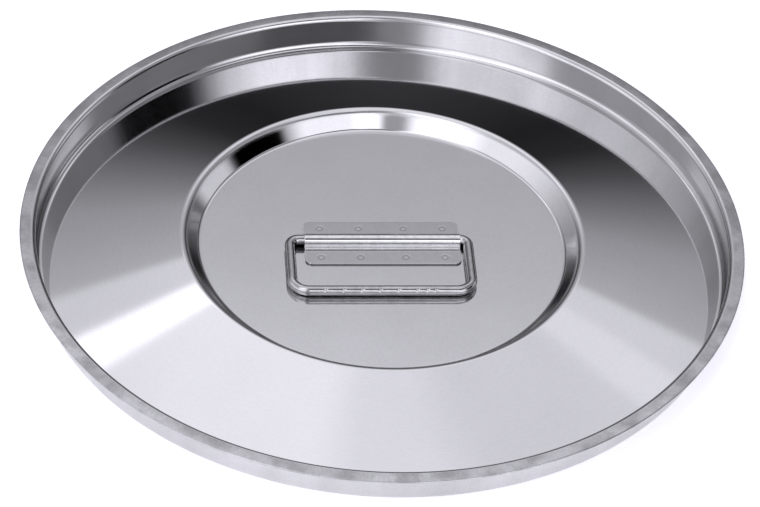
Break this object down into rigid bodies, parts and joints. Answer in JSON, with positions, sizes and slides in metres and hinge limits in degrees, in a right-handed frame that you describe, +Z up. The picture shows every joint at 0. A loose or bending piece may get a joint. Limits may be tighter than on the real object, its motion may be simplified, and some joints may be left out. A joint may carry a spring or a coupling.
{
  "type": "tank manway cover",
  "caption": "Round drop-in cover for a tank's manway neck, with a flat flange, a plug wall, a coned floor, a sunk disc and a folding bail handle.",
  "frame": {"origin": "middle of the lowest ring of the plug, which the cover stands on when it lies on a flat surface", "axes": "+Z up along the axis of the cover, X along the handle, and the folded bail points to -Y"},
  "size_m": [0.4149, 0.415, 0.022],
  "materials": {
    "cover_steel": "polished stainless cone and wall, satin disc and brushed flange",
    "bracket_steel": "bright stainless sheet with ring-shaped spot-weld marks",
    "bail_steel": "polished stainless rod"
  },
  "bodies": {
    "cover": {"cover_pan": "cover_steel", "handle_bracket": "bracket_steel"},
    "bail": {"handle_bail": "bail_steel"}
  },
  "joints": [
    {"name": "bail_swing", "type": "hinge", "parent": "cover", "child": "bail", "pos_m": [-0.0021, 0.0016, 0.01267], "axis": [-1, 0, 0], "range_deg": [0, 180]}
  ]
}
